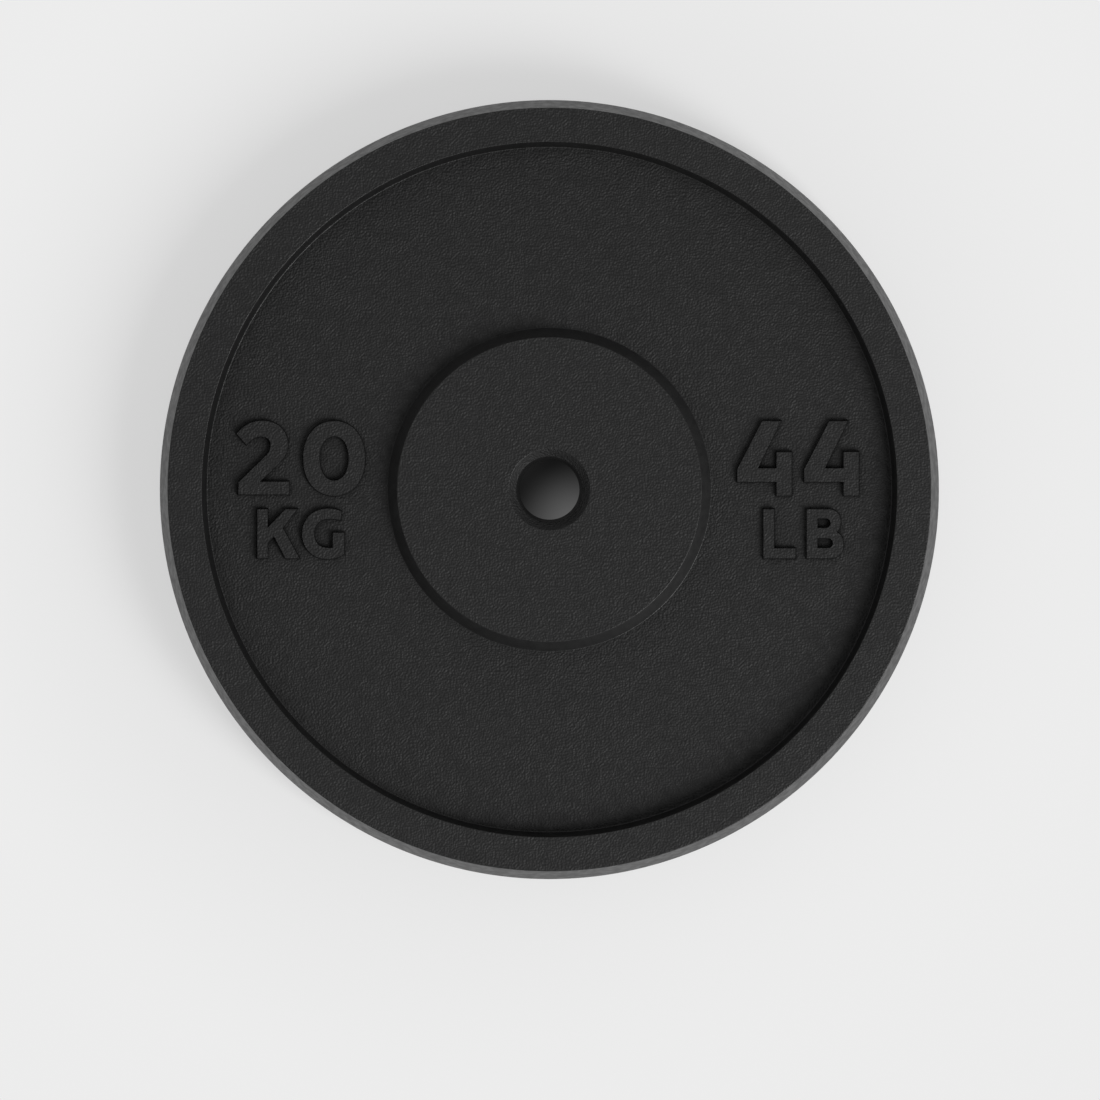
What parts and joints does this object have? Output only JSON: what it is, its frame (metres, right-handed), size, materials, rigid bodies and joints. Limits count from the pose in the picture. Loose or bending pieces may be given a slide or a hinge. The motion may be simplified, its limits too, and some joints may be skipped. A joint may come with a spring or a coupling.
{
  "type": "weight plate",
  "caption": "Round cast iron weight plate with a raised rim, a recessed web, a raised hub and a chamfered centre bore for a 28 mm bar.",
  "frame": {"origin": "on the bore's axis, in the plane of the back face that the plate rests on", "axes": "+Z along the bore's axis, out of the front face; the figures read upright with +Y up the face"},
  "size_m": [0.3778, 0.3778, 0.04],
  "materials": {
    "textured_paint": "fine textured black paint, satin"
  },
  "bodies": {
    "root": {"plate_casting": "textured_paint"}
  },
  "joints": []
}
